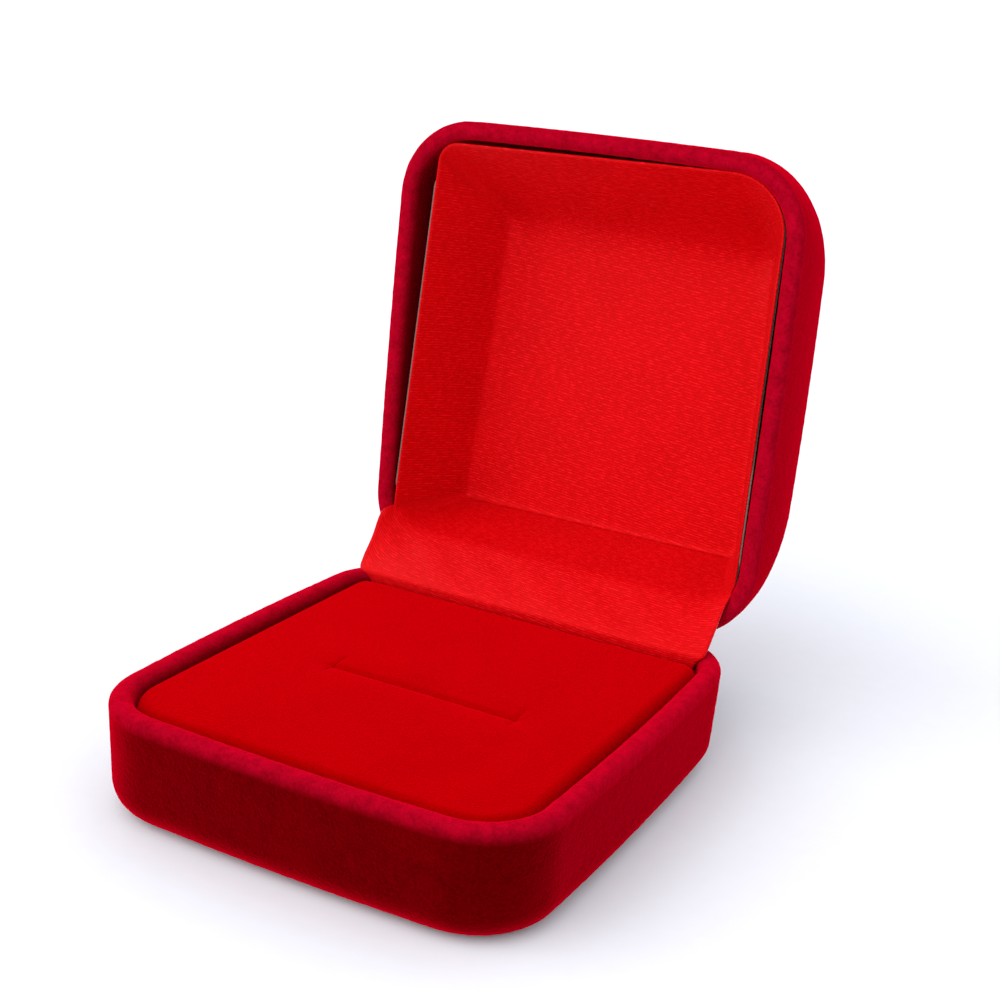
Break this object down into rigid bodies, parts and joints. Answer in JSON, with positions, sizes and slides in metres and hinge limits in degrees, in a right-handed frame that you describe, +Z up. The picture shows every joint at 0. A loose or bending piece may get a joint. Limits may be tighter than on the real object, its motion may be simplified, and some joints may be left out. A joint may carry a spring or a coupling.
{
  "type": "ring box",
  "caption": "Small hinged ring box with rounded corners, a flocked base and domed lid, a slit ring pad, and a satin lid lining that folds over the hinge.",
  "frame": {"origin": "centre of the base's flat underside, on the table", "axes": "+X to the box's right seen from the front, +Y from the front to the hinge, +Z up; drawn with the lid open"},
  "size_m": [0.0558, 0.0833, 0.0729],
  "materials": {
    "shell_flock": "short-pile flocking on a moulded shell",
    "pad_flock": "short-pile velvet",
    "satin": "satin weave with a fine rib",
    "card": "raw grey board",
    "foam": "open-cell foam",
    "hinge_steel": "pressed sheet steel",
    "spring_steel": "tempered strip"
  },
  "bodies": {
    "base": {"base_shell": "shell_flock", "pad_card": "card", "ring_pad": "foam", "pad_cover": "pad_flock", "hinge_leaf_base": "hinge_steel", "hinge_pin": "hinge_steel", "rivet_base_left": "hinge_steel", "rivet_base_right": "hinge_steel", "snap_spring": "spring_steel", "hinge_flap": "satin"},
    "lid": {"lid_shell": "shell_flock", "lining_card": "card", "lining_satin": "satin", "hinge_leaf_lid": "hinge_steel", "rivet_lid_left": "hinge_steel", "rivet_lid_right": "hinge_steel"}
  },
  "joints": [
    {"name": "lid_hinge", "type": "hinge", "parent": "base", "child": "lid", "pos_m": [0, 0.0295, 0.01335], "axis": [1, 0, 0], "range_deg": [0, 93], "deforming": ["hinge_flap", "snap_spring"]}
  ]
}
